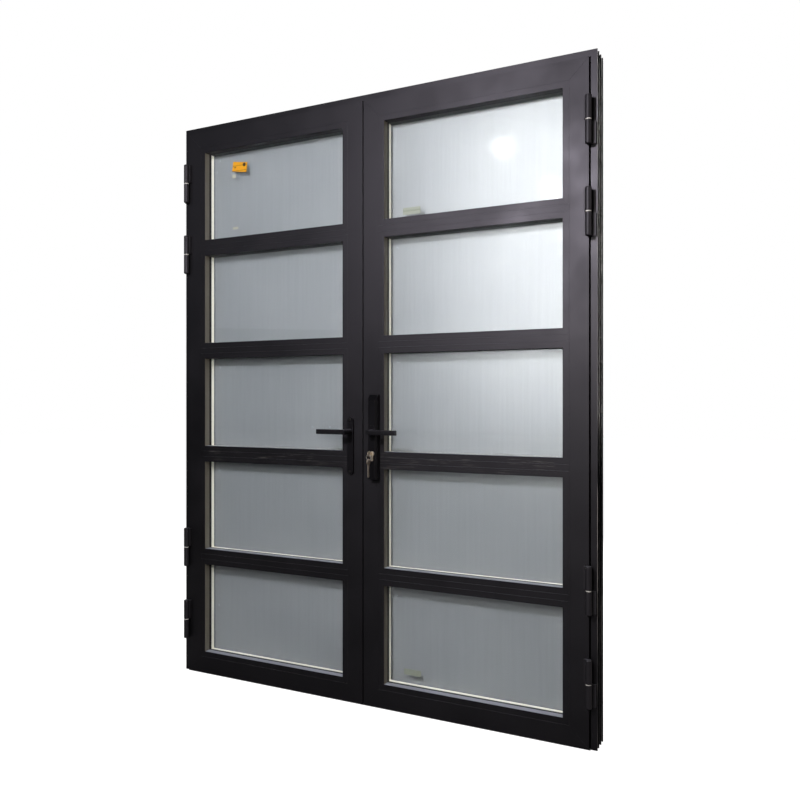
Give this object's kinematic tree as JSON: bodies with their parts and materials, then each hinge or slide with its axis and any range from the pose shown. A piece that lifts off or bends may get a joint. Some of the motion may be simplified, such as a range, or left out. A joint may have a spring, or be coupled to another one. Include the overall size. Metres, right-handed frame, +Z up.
{
  "type": "french doors",
  "caption": "Pair of glazed aluminium french doors in their own frame, with stacked frosted panes, barrel hinges, lever handles and a lock with its key.",
  "frame": {"origin": "under the threshold, on the doors' middle line, in the plane of the frame's front face", "axes": "+X to the right seen from the hinge side, +Y into the depth of the frame, +Z up"},
  "size_m": [1.6, 0.197, 2.1],
  "materials": {
    "frame_coat": "fine powder coat, satin",
    "leaf_coat": "fine powder coat, satin",
    "thermal_break": "matt polyamide",
    "mill_aluminium": "mill finish",
    "seal_rubber": "matt",
    "hinge_coat": "powder coat, satin",
    "pin_steel": "turned",
    "washer_nylon": "moulded",
    "clear_glass": "float glass, clear",
    "frosted_glass": "acid-etched, milky",
    "spacer_aluminium": "anodised, satin",
    "zinc_steel": "zinc plated",
    "handle_coat": "satin lacquer",
    "screw_steel": "machined",
    "cylinder_brass": "nickel plated",
    "ring_steel": "nickel plated"
  },
  "bodies": {
    "frame": {"left_jamb": "frame_coat", "right_jamb": "frame_coat", "head": "frame_coat", "threshold": "frame_coat", "frame_thermal_breaks": "thermal_break", "frame_corner_cleats": "mill_aluminium", "stop_gasket": "seal_rubber", "frame_hinge_knuckles": "hinge_coat", "hinge_pins": "pin_steel", "hinge_washers": "washer_nylon"},
    "left_leaf": {"left_hinge_stile": "leaf_coat", "left_meeting_stile": "leaf_coat", "left_top_rail": "leaf_coat", "left_bottom_rail": "leaf_coat", "left_glazing_bars": "leaf_coat", "left_thermal_breaks": "thermal_break", "left_glazing_beads": "leaf_coat", "left_front_panes": "clear_glass", "left_rear_panes": "frosted_glass", "left_spacer_bars": "spacer_aluminium", "left_glazing_gaskets": "seal_rubber", "left_hinge_knuckles": "hinge_coat", "left_gear_case": "zinc_steel", "left_backplate": "handle_coat", "left_plate_screws": "screw_steel", "strike_plate": "zinc_steel"},
    "left_lever_set": {"left_lever": "handle_coat", "left_spindle": "pin_steel", "left_pinion": "pin_steel"},
    "top_bolt": {"top_shoot_bolt": "zinc_steel"},
    "bottom_bolt": {"bottom_shoot_bolt": "zinc_steel"},
    "right_leaf": {"right_hinge_stile": "leaf_coat", "right_meeting_stile": "leaf_coat", "right_top_rail": "leaf_coat", "right_bottom_rail": "leaf_coat", "right_glazing_bars": "leaf_coat", "right_thermal_breaks": "thermal_break", "right_glazing_beads": "leaf_coat", "right_front_panes": "clear_glass", "right_rear_panes": "frosted_glass", "right_spacer_bars": "spacer_aluminium", "right_glazing_gaskets": "seal_rubber", "right_hinge_knuckles": "hinge_coat", "meeting_seal": "seal_rubber", "lock_case": "zinc_steel", "lock_faceplate": "zinc_steel", "right_lock_plate": "handle_coat", "outer_lock_plate": "handle_coat", "right_plate_screws": "screw_steel", "lock_cylinder": "cylinder_brass"},
    "right_lever_set": {"right_lever": "handle_coat", "outer_lever": "handle_coat", "right_spindle": "pin_steel", "lever_follower": "pin_steel"},
    "latch": {"latch_bolt": "zinc_steel"},
    "dead_bolt_bar": {"dead_bolt": "zinc_steel"},
    "lock_key": {"cylinder_plug": "cylinder_brass", "key": "cylinder_brass"},
    "key_ring": {"split_ring": "ring_steel", "spare_key": "cylinder_brass"}
  },
  "joints": [
    {"name": "left_leaf_swing", "type": "hinge", "parent": "frame", "child": "left_leaf", "pos_m": [-0.778, -0.022, 0], "axis": [0, 0, -1], "range_deg": [0, 170]},
    {"name": "right_leaf_swing", "type": "hinge", "parent": "frame", "child": "right_leaf", "pos_m": [0.778, -0.022, 0], "axis": [0, 0, 1], "range_deg": [0, 170]},
    {"name": "left_lever_turn", "type": "hinge", "parent": "left_leaf", "child": "left_lever_set", "pos_m": [-0.047, -0.01, 0.94], "axis": [0, -1, 0], "range_deg": [0, 90]},
    {"name": "top_bolt_slide", "type": "slide", "parent": "left_leaf", "child": "top_bolt", "axis": [0, 0, -1], "range_m": [0, 0.0126]},
    {"name": "bottom_bolt_slide", "type": "slide", "parent": "left_leaf", "child": "bottom_bolt", "axis": [0, 0, 1], "range_m": [0, 0.0126]},
    {"name": "right_lever_turn", "type": "hinge", "parent": "right_leaf", "child": "right_lever_set", "pos_m": [0.0495, -0.01, 0.94], "axis": [0, 1, 0], "range_deg": [0, 45], "stiffness_Nm_per_rad": 1, "springref_deg": -34.38},
    {"name": "latch_slide", "type": "slide", "parent": "right_leaf", "child": "latch", "axis": [1, 0, 0], "range_m": [0, 0.014]},
    {"name": "key_turn", "type": "hinge", "parent": "right_leaf", "child": "lock_key", "pos_m": [0.0495, -0.039, 0.867], "axis": [0, 1, 0], "range_deg": [0, 90]},
    {"name": "dead_bolt_slide", "type": "slide", "parent": "right_leaf", "child": "dead_bolt_bar", "axis": [-1, 0, 0], "range_m": [0, 0.02]},
    {"name": "spare_key_swing", "type": "hinge", "parent": "lock_key", "child": "key_ring", "pos_m": [0.0495, -0.06, 0.86539], "axis": [-1, 0, 0], "range_deg": [-8, 80]}
  ],
  "couplings": [
    {"joint": "top_bolt_slide", "follows": "left_lever_turn", "m_per_rad": 0.008},
    {"joint": "bottom_bolt_slide", "follows": "left_lever_turn", "m_per_rad": 0.008},
    {"joint": "latch_slide", "follows": "right_lever_turn", "m_per_rad": 0.0178},
    {"joint": "dead_bolt_slide", "follows": "key_turn", "m_per_rad": 0.0127}
  ]
}
